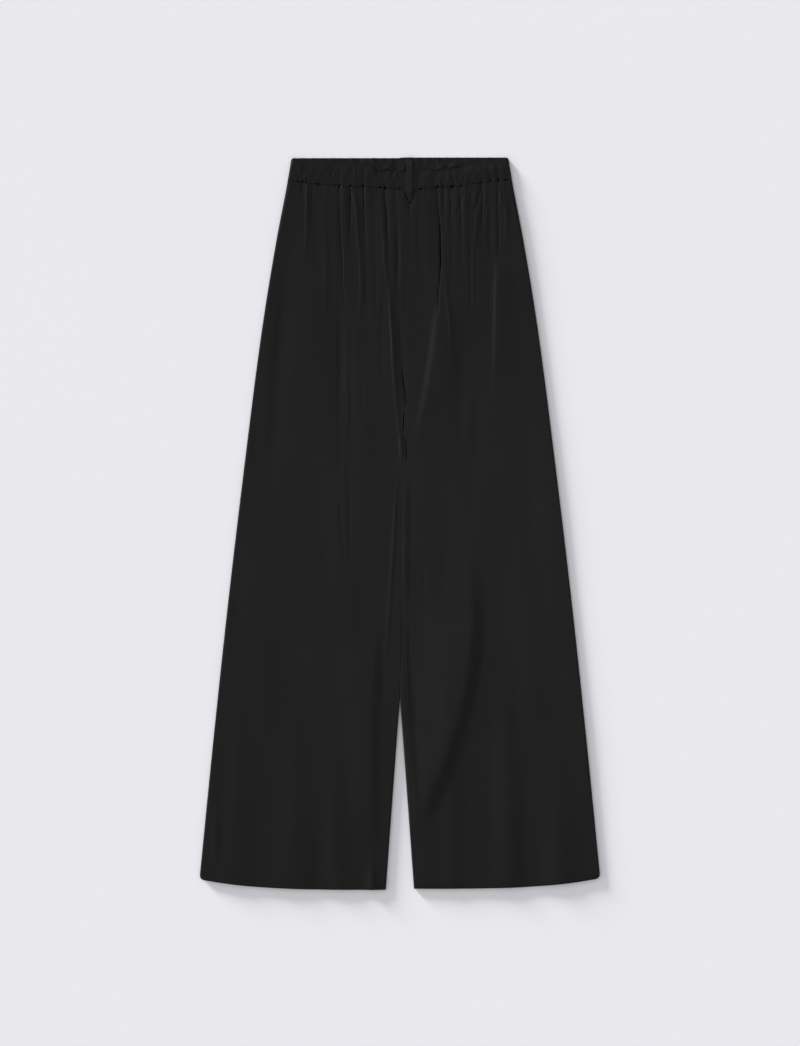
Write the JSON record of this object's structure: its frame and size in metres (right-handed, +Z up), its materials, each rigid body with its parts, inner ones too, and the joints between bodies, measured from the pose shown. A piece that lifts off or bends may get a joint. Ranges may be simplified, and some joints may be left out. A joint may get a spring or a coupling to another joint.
{
  "type": "palazzo pants",
  "caption": "Wide-leg pull-on trousers laid flat, front up, gathered into an elastic waistband with a pointed tab at the centre front.",
  "frame": {"origin": "on the surface that the trousers lie on, under the middle of their bounding box", "axes": "+Y up the garment to the waist, +X to the wearer's left, +Z up out of the front"},
  "size_m": [0.5674, 1.04, 0.0083],
  "materials": {
    "cloth": "black satin with a soft sheen",
    "band_cloth": "black satin gathered over elastic"
  },
  "bodies": {
    "root": {"front_left": "cloth", "front_right": "cloth", "back_left": "cloth", "back_right": "cloth", "waistband_front": "band_cloth", "waistband_back": "band_cloth", "front_tab": "band_cloth"}
  },
  "joints": []
}
